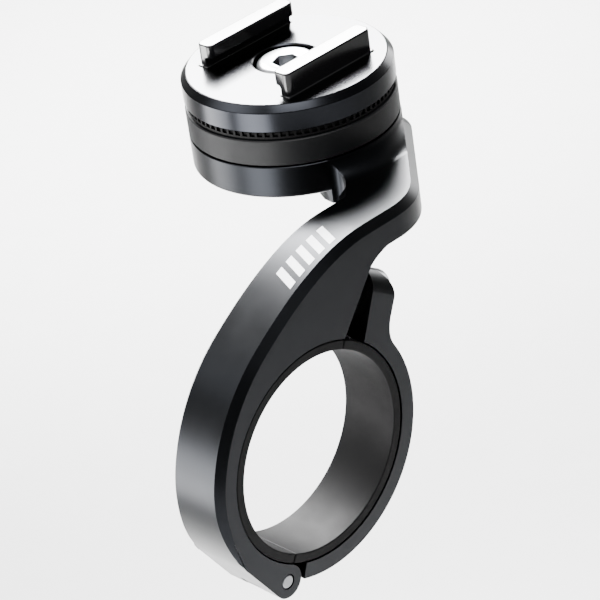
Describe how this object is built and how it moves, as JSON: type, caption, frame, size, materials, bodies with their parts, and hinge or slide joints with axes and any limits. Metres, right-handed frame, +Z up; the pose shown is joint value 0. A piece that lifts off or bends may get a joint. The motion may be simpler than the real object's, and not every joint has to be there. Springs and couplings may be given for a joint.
{
  "type": "phone mount",
  "caption": "Handlebar phone mount: round twist-lock head with two rails on a curved offset arm, with a hinged ring clamp and bolt below.",
  "frame": {"origin": "middle of the clamp's bore, on the handlebar's axis and half way across the clamp", "axes": "+X forward along the head's rails, +Y along the handlebar towards the head's side, +Z up out of the head"},
  "size_m": [0.0688, 0.0467, 0.0685],
  "materials": {
    "anodised": "satin black anodised",
    "steel": "plain machined steel",
    "rail": "smooth black",
    "spacer": "fine moulded texture",
    "liner": "matte black",
    "print": "pale grey pad print"
  },
  "bodies": {
    "arm": {"arm": "anodised", "liner_arm": "liner", "hinge_pin": "steel", "clamp_thread_insert": "steel", "head_thread_insert": "steel", "spacer_ring": "spacer", "base_gasket": "liner"},
    "head": {"mount_head": "anodised", "rail_near": "rail", "rail_far": "rail", "serrated_ring": "spacer"},
    "head_screw": {"head_screw": "steel"},
    "jaw": {"jaw": "anodised", "liner_jaw": "liner"},
    "clamp_bolt": {"clamp_bolt": "steel"}
  },
  "joints": [
    {"name": "head_turn", "type": "hinge", "parent": "arm", "child": "head", "pos_m": [0.0312, 0.0248, 0.04], "axis": [0, 0, 1], "continuous": true},
    {"name": "head_screw_turn", "type": "hinge", "parent": "arm", "child": "head_screw", "pos_m": [0.0312, 0.0248, 0.04], "axis": [0, 0, 1], "continuous": true},
    {"name": "jaw_hinge", "type": "hinge", "parent": "arm", "child": "jaw", "pos_m": [-0.0103, 0, -0.0175], "axis": [0, 1, 0], "range_deg": [0, 75]},
    {"name": "clamp_bolt_out", "type": "slide", "parent": "jaw", "child": "clamp_bolt", "axis": [0.8415, 0, -0.5402], "range_m": [0, 0.012]}
  ]
}
